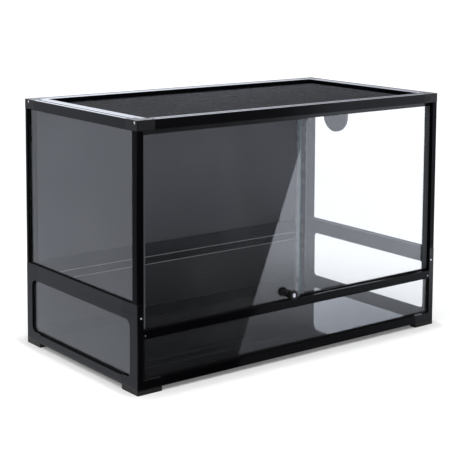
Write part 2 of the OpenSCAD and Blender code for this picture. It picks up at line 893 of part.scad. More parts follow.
// Port frame: z points inwards from the right outer face, on the port's axis.
module at_port() {
    translate([half_w, front_y + port_y, port_z]) rotate([0, -90, 0]) children();
}

port_web = glass_in - port_flange;
port_back = glass_in + glass_t + port_flange;

module port_ring() {
    color(moulded_black) at_port() difference() {
        union() {
            translate([0, 0, port_web]) cylinder(h = port_flange, r = port_d / 2);
            translate([0, 0, port_web]) cylinder(h = port_back - port_web, r = port_hole);
        }
        translate([0, 0, port_web + 1.5]) cylinder(h = 20, r = port_bore);
        cylinder(h = 20, r = 10);
        translate([port_spot, 0, 0]) cylinder(h = 20, r = port_cable_r);
    }
}

module port_nut() {
    color(moulded_black) at_port() translate([0, 0, glass_in + glass_t]) difference() {
        cylinder(h = port_flange, r = port_d / 2);
        translate([0, 0, -1]) cylinder(h = port_flange + 2, r = port_hole + 0.1);
    }
}

// Rotary shutter: its hole meets the ring's after a quarter turn.
module port_cap() {
    z0 = port_web + 1.5 + 0.2;
    color([0.2, 0.2, 0.21]) at_port() difference() {
        union() {
            translate([0, 0, z0]) cylinder(h = 5, r = port_bore - 0.05);
            translate([0, 0, 0.6]) cylinder(h = z0, r = 9.95);
        }
        translate([0, port_spot, 0]) cylinder(h = 20, r = port_cable_r);
        translate([-7, -1, 0]) cube([14, 2, 1.8]);
    }
}

// ---- assembly ----

module corner_nodes(c) {
    top_corner(c);
    post(c);
    mid_corner(c);
    lower_post(c);
}

for (c = CORNERS) corner_nodes(c);
end_top_rail(false);  // top_rail_front
end_top_rail(true);  // top_rail_rear
side_top_rail(false);  // top_rail_left
side_top_rail(true);  // top_rail_right
side_mid_bar(false);  // mid_bar_left
side_mid_bar(true);  // mid_bar_right
rear_mid_bar();  // mid_bar_rear
side_low_bar(false);  // lower_bar_left
side_low_bar(true);  // lower_bar_right
rear_low_bar();  // lower_bar_rear
end_base_bar(false);  // base_bar_front
end_base_bar(true);  // base_bar_rear
side_base_bar(false);  // base_bar_left
side_base_bar(true);  // base_bar_right
door_track();
upper_glass(false);  // upper_glass_left
upper_glass(true);  // upper_glass_right
lower_glass(false);  // lower_glass_left
lower_glass(true);  // lower_glass_right
lower_glass_front();
back_panel(upper_span);  // back_panel_upper
back_panel(lower_rear_span);  // back_panel_lower
floor_panel();
glazing_gaskets();
frame_screws();
door_left_glass();
door_guides(door_left_span, pane_front);  // door_left_guides
door_trim(door_left_span[0], 1, 11.5, pane_front);  // door_left_trim
door_right_glass();
door_guides(door_right_span, pane_rear);  // door_right_guides
door_trim(door_right_span[1], -1, 14, pane_rear);  // door_right_trim
door_right_seal();
lock_case();
lock_plate();
lock_knob();
lock_cam();
lock_catch();
lid_frame();
lid_mesh();
port_ring();
port_nut();
port_cap();
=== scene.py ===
"""Finishes, small parts and studio for the sliding-door reptile terrarium."""

from math import atan2, cos, pi, radians, sin

import bmesh
import bpy
from bpy.props import (
    FloatProperty,
    FloatVectorProperty,
    IntProperty,
    PointerProperty,
)
from mathutils import Matrix, Vector


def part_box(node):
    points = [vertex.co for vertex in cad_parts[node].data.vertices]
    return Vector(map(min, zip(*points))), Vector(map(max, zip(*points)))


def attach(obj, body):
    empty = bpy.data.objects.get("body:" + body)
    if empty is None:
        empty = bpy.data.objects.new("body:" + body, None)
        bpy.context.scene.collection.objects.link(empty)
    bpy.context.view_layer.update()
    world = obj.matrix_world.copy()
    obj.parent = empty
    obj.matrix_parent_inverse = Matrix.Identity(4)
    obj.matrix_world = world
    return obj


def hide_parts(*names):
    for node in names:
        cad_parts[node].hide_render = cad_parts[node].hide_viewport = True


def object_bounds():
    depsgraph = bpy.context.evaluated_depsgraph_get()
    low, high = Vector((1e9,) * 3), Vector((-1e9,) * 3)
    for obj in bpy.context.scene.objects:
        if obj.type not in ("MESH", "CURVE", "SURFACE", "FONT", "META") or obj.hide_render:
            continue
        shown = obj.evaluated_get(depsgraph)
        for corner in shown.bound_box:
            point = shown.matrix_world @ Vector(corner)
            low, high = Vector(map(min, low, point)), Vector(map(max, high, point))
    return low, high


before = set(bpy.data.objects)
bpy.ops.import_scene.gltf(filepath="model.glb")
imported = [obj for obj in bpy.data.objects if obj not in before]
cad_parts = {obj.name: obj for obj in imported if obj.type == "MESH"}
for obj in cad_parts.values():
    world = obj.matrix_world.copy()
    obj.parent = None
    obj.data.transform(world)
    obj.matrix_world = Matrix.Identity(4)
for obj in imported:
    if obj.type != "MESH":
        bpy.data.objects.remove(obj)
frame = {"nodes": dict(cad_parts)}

CAD_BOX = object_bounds()

bl_info = {
    "name": "Reptile Terrarium Finishes",
    "version": (1, 0, 0),
    "blender": (4, 5, 0),
    "location": "View3D > Sidebar > Terrarium",
    "description": "Gives the packed terrarium its finishes, screen wire, lock and studio",
    "category": "Object",
}

MM = 0.001
LOW, HIGH = CAD_BOX
HALF_W = HIGH.x
REAR_Y = HIGH.y
FRONT_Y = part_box("top_rail_front")[0][1]
TOP_Z = HIGH.z

# Place of the camera in metres.
CAMERA_PLACE = Vector((-1.9388, -2.4951, 0.9642))
# Turn to the right of straight ahead, tilt down and roll of the camera, in degrees.
CAMERA_ANGLES = (38.065, 6.246, 0.374)
# Shift of the lens as a share of the picture's width.
CAMERA_SHIFT = (-0.0418, -0.3029)
# Half the width of the floor in metres.
FLOOR_HALF = 60
# Distance from the sides to the ends of the rear bar's painted highlight lines in metres.
HIGHLIGHT_LINE_INSET = 0.07


# ---- sizes and colours ----


def colour_property(name, description, default):
    """A plain RGB colour setting."""
    return FloatVectorProperty(
        name=name, description=description, default=default, size=3, subtype="COLOR", min=0, max=1
    )


def length_property(name, description, default):
    """A length setting in metres."""
    return FloatProperty(
        name=name, description=description, default=default, unit="LENGTH", subtype="DISTANCE",
        min=0, precision=5,
    )


def amount_property(name, description, default, high, **more):
    """A plain amount from 0 to high."""
    return FloatProperty(name=name, description=description, default=default, min=0, max=high, **more)


class FrameFinishSettings(bpy.types.PropertyGroup):
    """Looks of the black frame."""

    bar_colour: colour_property("Bar colour", "Colour of the rails, posts and bars", (0.0013, 0.0013, 0.0019))
    moulded_colour: colour_property("Connector colour", "Colour of the moulded connectors and feet",
                                    (0.0011, 0.0011, 0.0016))
    worn_colour: colour_property("Worn colour", "Colour of rubbed edges", (0.05, 0.05, 0.053))
    trim_colour: colour_property("Trim colour", "Colour of the smoked door trims", (0.075, 0.079, 0.088))
    guide_colour: colour_property("Guide colour", "Colour of the door guides", (0.005, 0.005, 0.0058))
    port_colour: colour_property("Port colour", "Colour of the cable port", (0.020, 0.021, 0.024))
    # Colour of the pale strips that paint highlight lines on the rear bar.
    painted_highlight_colour: colour_property("Painted highlight colour", "Colour of the pale painted highlight lines on the rear bar",
                                 (0.42, 0.42, 0.44))
    # The upper back panel's grey is partly its own dark grey and partly painted light from the top through
    # the screen, lighter than the lower panel.
    back_colour_with_painted_light: colour_property("Back colour", "Colour of the upper back panel", (0.040, 0.042, 0.050))
    panel_colour: colour_property("Panel colour", "Colour of the lower back and floor panels",
                                  (0.005, 0.005, 0.006))
    gasket_colour: colour_property("Gasket colour", "Colour of the glazing gaskets", (0.0025, 0.0025, 0.0025))
    edge_radius: length_property("Edge radius", "Softness of every edge of the frame", 0.0007)


class GlassSettings(bpy.types.PropertyGroup):
    """Looks of the panes."""

    tint: colour_property("Tint", "Colour of the light through a pane", (0.952, 0.965, 0.977))
    edge_tint: colour_property("Edge tint", "Colour of a pane's ground edges", (0.10, 0.36, 0.35))
    seal_colour: colour_property("Seal colour", "Colour of the smoked dust seal", (0.062, 0.068, 0.078))


class ScreenSettings(bpy.types.PropertyGroup):
    """Sizes of the woven screen in the lid."""

    pitch: length_property("Wire pitch", "Distance from one wire to the next", 0.002)
    wire: length_property("Wire thickness", "Thickness of one wire", 0.0004)
    gloss: amount_property("Wire gloss", "Strength of the wires' shine", 0.3, 1)
    sides: IntProperty(name="Wire sides", description="Flat sides of a wire", default=5, min=3, max=12)
    colour: colour_property("Wire colour", "Colour of the coated wire", (0.015, 0.016, 0.022))


class LockSettings(bpy.types.PropertyGroup):
    """Sizes and colours of the door lock."""

    knob_radius: length_property("Knob radius", "Radius of the knob over its ribs", 0.011)
    ribs: IntProperty(name="Ribs", description="Grip ribs round the knob", default=18, min=6, max=36)
    edge: length_property("Edge rounding", "Rounding of the lock case's edges", 0.0012)
    black: colour_property("Case colour", "Colour of the case and knob", (0.005, 0.005, 0.0052))
    plated: colour_property("Plated colour", "Colour of the plated parts", (0.62, 0.63, 0.65))
    screw: colour_property("Screw colour", "Colour of the zinc-plated screws", (0.80, 0.80, 0.82))


class StudioSettings(bpy.types.PropertyGroup):
    """Floor, lamps and camera."""

    floor_colour: colour_property("Floor colour", "Colour of the floor", (0.86, 0.86, 0.86))
    # Near lift and shadow reach paint a darker shadow edge on the seen floor round the model; far lift and
    # sky lift make the rest evenly white.
    near_lift: amount_property("Near lift", "Extra brightness of the seen floor under the model", 0.13, 1)
    far_lift: amount_property("Far lift", "Extra brightness of the seen floor round the model", 0.33, 1)
    painted_shadow_reach: length_property("Shadow reach", "Width of the dark edge of floor round the model", 0.055)
    ambient: amount_property("Ambient light", "Strength of the even light from all round", 0.55, 3)
    top_power: FloatProperty(
        name="Top lamp", description="Power of the soft lamp above", default=44, min=0, unit="POWER"
    )
    side_power: FloatProperty(
        name="Side lamp", description="Power of the soft lamp at the left", default=14, min=0, unit="POWER"
    )
    # Glow of the painted bright reflection behind the model, a card seen only in reflections and through
    # glass.
    backdrop_painted_reflection: amount_property("Backdrop glow", "Brightness of the backdrop in reflections", 2.4, 5)
    # Glow of the painted bright reflection of the floor at the right, a card seen only in reflections and
    # through glass.
    floor_painted_reflection: amount_property("Bright floor", "Brightness of the floor at the right in reflections",
                                  2.3, 5)
    sky_lift: amount_property("Sky lift", "Further brightness of the seen floor far away", 0.26, 1)
    lens: FloatProperty(
        name="Lens", description="Focal length of the camera", default=103.256, min=10, unit="CAMERA"
    )


def settings():
    """The scene's settings for this model."""
    return bpy.context.scene.terrarium


class TerrariumSettings(bpy.types.PropertyGroup):
    """All sizes and colours that a user may change."""

    frame: PointerProperty(type=FrameFinishSettings, name="Frame", description="Looks of the frame")
    glass: PointerProperty(type=GlassSettings, name="Glass", description="Looks of the panes")
    screen: PointerProperty(type=ScreenSettings, name="Screen", description="Sizes of the screen")
    lock: PointerProperty(type=LockSettings, name="Lock", description="Sizes of the lock")
    studio: PointerProperty(type=StudioSettings, name="Studio", description="Floor, lamps and camera")


# ---- material helpers ----


def new_material(name):
    """An empty node material and its tree."""
    material = bpy.data.materials.new(name)
    material.use_nodes = True
    material.node_tree.nodes.clear()
    return material, material.node_tree


def put(tree, kind, options=None, **inputs):
    """Adds a node; an input named _3 is the third socket, and an underscore is a space."""
    made = tree.nodes.new(kind)
    for key, value in (options or {}).items():
        setattr(made, key, value)
    for key, value in inputs.items():
        socket = made.inputs[int(key[1:])] if key[0] == "_" else made.inputs[key.replace("_", " ")]
        if isinstance(value, bpy.types.NodeSocket):
            tree.links.new(value, socket)
        else:
            socket.default_value = value
    return made


def rgba(colour):
    """A colour with full alpha."""
    return (*colour, 1.0)


def shade(colour, times):
    """A colour made darker or lighter, with full alpha."""
    return rgba([min(1, c * times) for c in colour])


def object_coordinates(tree, scale=(1, 1, 1)):
    """Object coordinates, stretched by scale."""
    here = put(tree, "ShaderNodeTexCoord").outputs["Object"]
    return put(tree, "ShaderNodeMapping", Vector=here, Scale=scale).outputs["Vector"]


def noise(tree, where, scale, detail=3.0, rough=0.55):
    """Noise at a scale per metre."""
    return put(
        tree, "ShaderNodeTexNoise", Vector=where, Scale=scale, Detail=detail, Roughness=rough
    ).outputs["Fac"]


def spread(tree, value, low, high, to_low, to_high):
    """Maps value from low-high to to_low-to_high and clamps it."""
    return put(
        tree, "ShaderNodeMapRange", _0=value, _1=low, _2=high, _3=to_low, _4=to_high
    ).outputs[0]


def calc(tree, operation, a, b):
    """One sum on two values."""
    return put(tree, "ShaderNodeMath", {"operation": operation}, _0=a, _1=b).outputs[0]


def vector_calc(tree, operation, a, b=(0, 0, 0)):
    """One sum on two vectors."""
    return put(tree, "ShaderNodeVectorMath", {"operation": operation}, _0=a, _1=b).outputs["Vector"]


def blend_colours(tree, share, a, b):
    """Mixes two colours."""
    return put(tree, "ShaderNodeMix", {"data_type": "RGBA"}, _0=share, _6=a, _7=b).outputs[2]


def soft_edges(tree, radius):
    """The rounded normal of every edge, and a mask of the edges."""
    rounded = put(tree, "ShaderNodeBevel", {"samples": 6}, Radius=radius).outputs[0]
    flat = put(tree, "ShaderNodeNewGeometry").outputs["Normal"]
    dot = put(tree, "ShaderNodeVectorMath", {"operation": "DOT_PRODUCT"}, _0=rounded, _1=flat)
    return rounded, spread(tree, dot.outputs["Value"], 0.80, 0.985, 1.0, 0.0)


def close_material(tree, shader):
    """Joins the last shader to the output."""
    put(tree, "ShaderNodeOutputMaterial", Surface=shader)


def black_finish(name, colour, worn, radius, *, grain, stretch=(1, 1, 1), rough=(0.16, 0.3), depth=0.02,
                 wear=0.35, gloss=0.5):
    """Black plastic or lacquer: mottled colour, worn edges, and a fine grain that may run along a bar."""
    material, tree = new_material(name)
    here = object_coordinates(tree)
    along = object_coordinates(tree, stretch)
    cloud = noise(tree, here, 6.0, 4.0)
    fine = noise(tree, along, grain, 2.0)
    scuff = noise(tree, here, 14.0, 5.0, 0.6)
    rounded, edge = soft_edges(tree, radius)
    broken = calc(tree, "MULTIPLY", edge, spread(tree, scuff, 0.42, 0.62, 0.0, wear))
    body = blend_colours(tree, cloud, shade(colour, 0.8), shade(colour, 1.25))
    body = blend_colours(tree, broken, body, rgba(worn))
    dull = calc(tree, "ADD", spread(tree, scuff, 0.35, 0.7, rough[0], rough[1]),
                calc(tree, "MULTIPLY", fine, 0.03))
    bump = put(tree, "ShaderNodeBump", Strength=0.5, Distance=depth * MM, Height=fine, Normal=rounded)
    shader = put(tree, "ShaderNodeBsdfPrincipled", Base_Color=body, Roughness=dull, IOR=1.5,
                 Specular_IOR_Level=gloss, Normal=bump.outputs[0])
    close_material(tree, shader.outputs[0])
    return material


def plated_finish(name, colour, rough, grain=900.0, stretch=(1, 1, 1)):
    """Plated metal with fine brushing and a few dull marks."""
    material, tree = new_material(name)
    here = object_coordinates(tree)
    brushed = noise(tree, object_coordinates(tree, stretch), grain, 2.0)
    marks = noise(tree, here, 160.0, 4.0)
    body = blend_colours(tree, spread(tree, marks, 0.4, 0.7, 0.0, 1.0), rgba(colour), shade(colour, 0.8))
    dull = calc(tree, "ADD", spread(tree, marks, 0.35, 0.7, rough, rough * 1.6),
                calc(tree, "MULTIPLY", brushed, 0.06))
    rounded, _edge = soft_edges(tree, 0.00035)
    bump = put(tree, "ShaderNodeBump", Strength=0.35, Distance=0.01 * MM, Height=brushed, Normal=rounded)
    shader = put(tree, "ShaderNodeBsdfPrincipled", Base_Color=body, Roughness=dull, Metallic=1.0,
                 Normal=bump.outputs[0])
    close_material(tree, shader.outputs[0])
    return material


def pane_finish(name, axis):
    """Clear float glass whose broad faces look along axis, with green ground edges and a trace of dust."""
    glass = settings().glass
    material, tree = new_material(name)
    here = object_coordinates(tree)
    wave = put(tree, "ShaderNodeBump", Strength=0.03, Distance=0.2 * MM, Height=noise(tree, here, 5.0, 1.0))
    clear = put(tree, "ShaderNodeBsdfPrincipled", Base_Color=rgba(glass.tint), Roughness=0.0, IOR=1.52,
                Transmission_Weight=1.0, Normal=wave.outputs[0])
    film = noise(tree, here, 7.0, 5.0, 0.6)
    specks = noise(tree, here, 420.0, 2.0, 0.5)
    dust = calc(tree, "ADD", spread(tree, film, 0.45, 0.8, 0.002, 0.012),
                spread(tree, specks, 0.735, 0.77, 0.0, 0.05))
    powder = put(tree, "ShaderNodeBsdfPrincipled", Base_Color=(0.75, 0.76, 0.77, 1), Roughness=0.9)
    face = put(tree, "ShaderNodeMixShader", _0=dust, _1=clear.outputs[0], _2=powder.outputs[0])
    ground = put(tree, "ShaderNodeBsdfPrincipled", Base_Color=rgba(glass.edge_tint),
                 Roughness=spread(tree, noise(tree, here, 700.0, 2.0), 0.3, 0.7, 0.25, 0.45), IOR=1.52,
                 Transmission_Weight=0.45)
    flat = put(tree, "ShaderNodeNewGeometry").outputs["True Normal"]
    across = put(tree, "ShaderNodeVectorMath", {"operation": "DOT_PRODUCT"}, _0=flat, _1=axis)
    broad = calc(tree, "GREATER_THAN", calc(tree, "ABSOLUTE", across.outputs["Value"], 0.0), 0.5)
    whole = put(tree, "ShaderNodeMixShader", _0=broad, _1=ground.outputs[0], _2=face.outputs[0])
    path = put(tree, "ShaderNodeLightPath")
    lit = calc(tree, "MAXIMUM", path.outputs["Is Shadow Ray"], path.outputs["Is Diffuse Ray"])
    passing = put(tree, "ShaderNodeBsdfTransparent", Color=(0.9, 0.91, 0.925, 1))
    shown = put(tree, "ShaderNodeMixShader", _0=lit, _1=whole.outputs[0], _2=passing.outputs[0])
    close_material(tree, shown.outputs[0])
    return material


def dress(material, *names):
    """Gives CAD nodes a finish in place of their plain one."""
    for name in names:
        slots = frame["nodes"][name].data.materials
        slots.clear()
        slots.append(material)


def corners(stem):
    """The four corner nodes of one kind."""
    return [f"{stem}_{c}" for c in ("fl", "fr", "rl", "rr")]


# ---- piece helpers ----


def place(name, bm, material, body, replaces=(), smooth=radians(35)):
    """Turns a bmesh into a piece that rides on a body."""
    bmesh.ops.remove_doubles(bm, verts=bm.verts, dist=1e-6)
    bmesh.ops.recalc_face_normals(bm, faces=bm.faces)
    mesh = bpy.data.meshes.new(name)
    bm.to_mesh(mesh)
    bm.free()
    mesh.shade_smooth()
    mesh.set_sharp_from_angle(angle=smooth)
    mesh.materials.append(material)
    piece = bpy.data.objects.new(name, mesh)
    bpy.context.scene.collection.objects.link(piece)
    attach(piece, body)
    if replaces:
        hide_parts(*replaces)
    return piece


def lathe(bm, profile, matrix, steps=40):
    """Spins (radius, height) points round Z and moves the solid by matrix."""
    verts = [bm.verts.new((r, 0, h)) for r, h in profile]
    edges = [bm.edges.new(pair) for pair in zip(verts, verts[1:])]
    bmesh.ops.spin(bm, geom=verts + edges, cent=(0, 0, 0), axis=(0, 0, 1), angle=2 * pi,
                   steps=steps, use_merge=True)
    bmesh.ops.remove_doubles(bm, verts=bm.verts, dist=1e-7)
    bmesh.ops.transform(bm, matrix=matrix, verts=bm.verts)


def prism(bm, outline, depth):
    """Extrudes a flat outline in XZ towards +Y by depth and returns its first and last face."""
    near = bm.faces.new([bm.verts.new((x, 0, z)) for x, z in outline])
    grown = bmesh.ops.extrude_face_region(bm, geom=[near], use_keep_orig=True)
    far = next(f for f in grown["geom"] if isinstance(f, bmesh.types.BMFace))
    bmesh.ops.translate(bm, vec=(0, depth, 0), verts=far.verts)
    return near, far


def joined(parts):
    """One bmesh from several."""
    whole = bmesh.new()
    for part in parts:
        mesh = bpy.data.meshes.new("part")
        part.to_mesh(mesh)
        part.free()
        whole.from_mesh(mesh)
        bpy.data.meshes.remove(mesh)
    return whole


def cut(bm, cutter):
    """Cuts one closed bmesh out of another."""
    objects = []
    for each in (bm, cutter):
        bmesh.ops.recalc_face_normals(each, faces=each.faces)
        mesh = bpy.data.meshes.new("cut")
        each.to_mesh(mesh)
        each.free()
        held = bpy.data.objects.new("cut", mesh)
        bpy.context.scene.collection.objects.link(held)
        objects.append(held)
    modifier = objects[0].modifiers.new("cut", "BOOLEAN")
    modifier.operation = "DIFFERENCE"
    modifier.solver = "EXACT"
    modifier.object = objects[1]
    graph = bpy.context.evaluated_depsgraph_get()
    shaped = bpy.data.meshes.new_from_object(objects[0].evaluated_get(graph))
    result = bmesh.new()
    result.from_mesh(shaped)
    bpy.data.meshes.remove(shaped)
    for held in objects:
        mesh = held.data
        bpy.data.objects.remove(held)
        bpy.data.meshes.remove(mesh)
    return result


def bar(size, centre, turn=0.0, axis="Z"):
    """A plain cutter bar."""
    bm = bmesh.new()
    matrix = Matrix.Translation(centre) @ Matrix.Rotation(turn, 4, axis) @ Matrix.Diagonal((*size, 1))
    bmesh.ops.create_cube(bm, size=1.0, matrix=matrix)
    return bm


# ---- operators ----


class DressFrame(bpy.types.Operator):
    """Gives the rails, posts and bars their black finish"""

    bl_idname = "terrarium.dress_frame"
    bl_label = "Frame finish"

    def execute(self, context):
        look = settings().frame
        runs = {
            "x": ((0.004, 1, 1), 0.1, [
                "top_rail_front", "top_rail_rear", "mid_bar_rear", "lower_bar_rear",
                "base_bar_front", "base_bar_rear", "lid_frame",
            ]),
            "y": ((1, 0.004, 1), 0.26, [
                f"{run}_{side}" for run in ("top_rail", "mid_bar", "lower_bar", "base_bar")
                for side in ("left", "right")
            ]),
            "z": ((1, 1, 0.004), 0.05, corners("post")),
            "track": ((0.004, 1, 1), 0.08, ["door_track"]),
        }
        for axis, (stretch, gloss, names) in runs.items():
            finish = black_finish(f"extruded_black_{axis}", look.bar_colour, look.worn_colour,
                                  look.edge_radius, grain=900.0, stretch=stretch, rough=(0.09, 0.14),
                                  depth=0.006, wear=0.25, gloss=gloss)
            dress(finish, *names)
        return {"FINISHED"}


class DressConnectors(bpy.types.Operator):
    """Gives the moulded connectors, lower posts and door guides a satin grain"""

    bl_idname = "terrarium.dress_connectors"
    bl_label = "Connector finish"

    def execute(self, context):
        look = settings().frame
        satin = black_finish("moulded_black", look.moulded_colour, look.worn_colour, look.edge_radius,
                             grain=1500.0, rough=(0.34, 0.44), depth=0.03, wear=0.45, gloss=0.24)
        dress(satin, *corners("top_corner"))
        smooth = black_finish("moulded_gloss_black", look.moulded_colour, look.worn_colour, look.edge_radius,
                              grain=1100.0, rough=(0.12, 0.2), depth=0.008, wear=0.3, gloss=0.22)
        dress(smooth, *corners("lower_post"), *corners("mid_corner"))
        guide = black_finish("guide_black", look.guide_colour, look.worn_colour, 0.0003,
                             grain=900.0, stretch=(0.004, 1, 1), rough=(0.12, 0.18), depth=0.006,
                             wear=0.2, gloss=0.3)
        dress(guide, "door_left_guides", "door_right_guides")
        trim = black_finish("smoked_trim", look.trim_colour, look.worn_colour, 0.0003,
                            grain=900.0, stretch=(1, 1, 0.004), rough=(0.12, 0.18), depth=0.006,
                            wear=0.2, gloss=0.5)
        dress(trim, "door_left_trim", "door_right_trim")
        return {"FINISHED"}


class DressGlass(bpy.types.Operator):
    """Gives every pane clear glass with green edges, and the dust seal its smoked look"""

    bl_idname = "terrarium.dress_glass"
    bl_label = "Glass"

    def execute(self, context):
        dress(pane_finish("side_glass", (1, 0, 0)),
              "upper_glass_left", "upper_glass_right", "lower_glass_left", "lower_glass_right")
        dress(pane_finish("front_glass", (0, 1, 0)),
              "lower_glass_front", "door_left_glass", "door_right_glass")
        material, tree = new_material("smoked_seal")
        here = object_coordinates(tree)
        streaks = noise(tree, object_coordinates(tree, (1, 1, 0.02)), 500.0, 2.0)
        body = blend_colours(tree, streaks, rgba(settings().glass.seal_colour),
                             shade(settings().glass.seal_colour, 1.5))
        dull = spread(tree, noise(tree, here, 60.0, 4.0), 0.3, 0.7, 0.18, 0.34)
        rounded, _edge = soft_edges(tree, 0.0003)
        bump = put(tree, "ShaderNodeBump", Strength=0.3, Distance=0.01 * MM, Height=streaks, Normal=rounded)
        shader = put(tree, "ShaderNodeBsdfPrincipled", Base_Color=body, Roughness=dull, IOR=1.49,
                     Normal=bump.outputs[0])
        close_material(tree, shader.outputs[0])
        dress(material, "door_right_seal")
        return {"FINISHED"}


class DressPanels(bpy.types.Operator):
    """Gives the back and floor panels gloss black, the upper back panel a grey with painted light, and the
    gaskets matt rubber
    """

    bl_idname = "terrarium.dress_panels"
    bl_label = "Panels and gaskets"

    def execute(self, context):
        look = settings().frame
        # Upper back panel: its own dark grey with painted light added, for the light falling on it from the
        # top through the screen.
        upper = black_finish("back_grey_with_painted_light", look.back_colour_with_painted_light, look.worn_colour, 0.0003,
                             grain=700.0, rough=(0.4, 0.5), depth=0.02, wear=0.0, gloss=0.3)
        dress(upper, "back_panel_upper")
        lower = black_finish("back_black", look.panel_colour, look.worn_colour, 0.0003,
                             grain=700.0, rough=(0.3, 0.4), depth=0.02, wear=0.0, gloss=0.3)
        dress(lower, "back_panel_lower")
        shiny = black_finish("floor_gloss_black", look.panel_colour, look.worn_colour, 0.0003,
                             grain=60.0, rough=(0.01, 0.04), depth=0.01, wear=0.0)
        dress(shiny, "floor_panel")
        rubber = black_finish("gasket_rubber", look.gasket_colour, look.worn_colour, 0.0004,
                              grain=1800.0, rough=(0.55, 0.75), depth=0.04, wear=0.1, gloss=0.08)
        dress(rubber, "glazing_gaskets")
        return {"FINISHED"}


class MakeScreen(bpy.types.Operator):
    """Makes the lid's screen from two layers of crossing wires"""

    bl_idname = "terrarium.make_screen"
    bl_label = "Screen"

    def execute(self, context):
        look = settings().screen
        low, high = (Vector(c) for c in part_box("lid_mesh"))
        size = high - low
        bm = bmesh.new()
        for along, across, z in ((0, 1, low.z + look.wire / 2), (1, 0, low.z + look.wire * 1.5)):
            count = int(size[across] / look.pitch)
            start = (size[across] - (count - 1) * look.pitch) / 2
            turn = Matrix.Rotation(pi / 2, 4, "Y" if along == 0 else "X")
            rod = bmesh.ops.create_circle(bm, cap_ends=True, radius=look.wire / 2, segments=look.sides,
                                          matrix=turn)
            ring = rod["verts"]
            face = next(f for f in bm.faces if all(v in ring for v in f.verts))
            grown = bmesh.ops.extrude_face_region(bm, geom=[face], use_keep_orig=True)["geom"]
            far = [g for g in grown if isinstance(g, bmesh.types.BMVert)]
            step = Vector((0, 0, 0))
            step[along] = size[along]
            bmesh.ops.translate(bm, vec=step, verts=far)
            first = Vector((low.x, low.y, z))
            first[across] += start
            bmesh.ops.translate(bm, vec=first, verts=ring + far)
            wire = set(ring + far)
            piece = list(wire)
            piece += list({e for v in wire for e in v.link_edges})
            piece += list({f for v in wire for f in v.link_faces})
            for i in range(1, count):
                copy = bmesh.ops.duplicate(bm, geom=piece)["geom"]
                move = Vector((0, 0, 0))
                move[across] = i * look.pitch
                moved = [g for g in copy if isinstance(g, bmesh.types.BMVert)]
                bmesh.ops.translate(bm, vec=move, verts=moved)
        material, tree = new_material("coated_wire")
        here = object_coordinates(tree)
        cloud = noise(tree, here, 12.0, 4.0)
        dust = noise(tree, here, 300.0, 3.0)
        body = blend_colours(tree, cloud, shade(look.colour, 0.94), shade(look.colour, 1.06))
        body = blend_colours(tree, spread(tree, dust, 0.6, 0.75, 0.0, 0.12), body, (0.2, 0.2, 0.21, 1))
        bump = put(tree, "ShaderNodeBump", Strength=0.3, Distance=0.01 * MM,
                   Height=noise(tree, here, 2500.0, 2.0))
        shader = put(tree, "ShaderNodeBsdfPrincipled", Base_Color=body, IOR=1.5,
                     Specular_IOR_Level=look.gloss, Roughness=spread(tree, cloud, 0.3, 0.7, 0.26, 0.29),
                     Normal=bump.outputs[0])
        close_material(tree, shader.outputs[0])
        place("screen_wires", bm, material, "lid", ["lid_mesh"])
        return {"FINISHED"}


def screw_shape(radius, height, shank, length):
    """A pan-head screw with a cross recess, head outwards along -Z from z = 0."""
    bm = bmesh.new()
    rim = height * 0.35
    profile = [(0, -height)]
    for i in range(1, 7):
        a = radians(15 * i)
        profile.append((radius * sin(a), -rim - (height - rim) * cos(a)))
    profile += [(radius, 0), (shank, 0), (shank, length - shank), (shank * 0.3, length), (0, length)]
    lathe(bm, profile, Matrix.Identity(4), 32)
    for turn in (0, pi / 2):
        recess = bar((radius * 1.1, radius * 0.24, height), (0, 0, -height - 0.05 * MM + height * 0.15), turn)
        bm = cut(bm, recess)
    return bm


class MakeScrews(bpy.types.Operator):
    """Sets pan-head screws in the connectors, lower posts and front mid rail"""

    bl_idname = "terrarium.make_screws"
    bl_label = "Screws"

    def execute(self, context):
        parts = []
        for side in (-1, 1):
            inward = Matrix.Rotation(-side * pi / 2, 4, "Y")
            for y in (FRONT_Y + 12 * MM, REAR_Y - 16.75 * MM):
                bm = screw_shape(3.9 * MM, 1.9 * MM, 1.9 * MM, 17 * MM)
                at = Matrix.Translation((side * (HALF_W - 2.15 * MM), y, TOP_Z - 6 * MM))
                bmesh.ops.transform(bm, matrix=at @ inward, verts=bm.verts)
                parts.append(bm)
            back = Matrix.Rotation(-pi / 2, 4, "X")
            for x, z, radius, height, shank, length in (
                (10, 170, 2.7, 1.3, 1.4, 3.1),
                (21, 130, 1.7, 0.7, 1.1, 14),
            ):
                bm = screw_shape(radius * MM, height * MM, shank * MM, length * MM)
                at = Matrix.Translation((side * (HALF_W - x * MM), FRONT_Y + (height + 0.15) * MM, z * MM))
                bmesh.ops.transform(bm, matrix=at @ back, verts=bm.verts)
                parts.append(bm)
        steel = plated_finish("zinc_screws", settings().lock.screw, 0.16)
        place("crosshead_screws", joined(parts), steel, "frame", ["frame_screws"], radians(50))
        return {"FINISHED"}


def lock_outline(grow):
    """Outline of the lock case: three discs wrapped by one band, grown by grow."""
    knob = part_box("lock_knob")
    x = (knob[0][0] + knob[1][0]) / 2
    z = (knob[0][2] + knob[1][2]) / 2
    bm = bmesh.new()
    for cx, cz, r in ((x, z, 13), (-26 * MM, 134 * MM, 8), (11 * MM, 138 * MM, 7)):
        at = Matrix.Translation((cx, 0, cz)) @ Matrix.Rotation(pi / 2, 4, "X")
        bmesh.ops.create_circle(bm, radius=(r + grow) * MM, segments=48, matrix=at)
    hull = bmesh.ops.convex_hull(bm, input=bm.verts)
    kept = {v for g in hull["geom"] if isinstance(g, bmesh.types.BMFace) for v in g.verts}
    middle = sum((v.co for v in kept), Vector()) / len(kept)
    ordered = sorted(kept, key=lambda v: atan2(v.co.z - middle.z, v.co.x - middle.x))
    points = [(v.co.x, v.co.z) for v in ordered]
    bm.free()
    return points


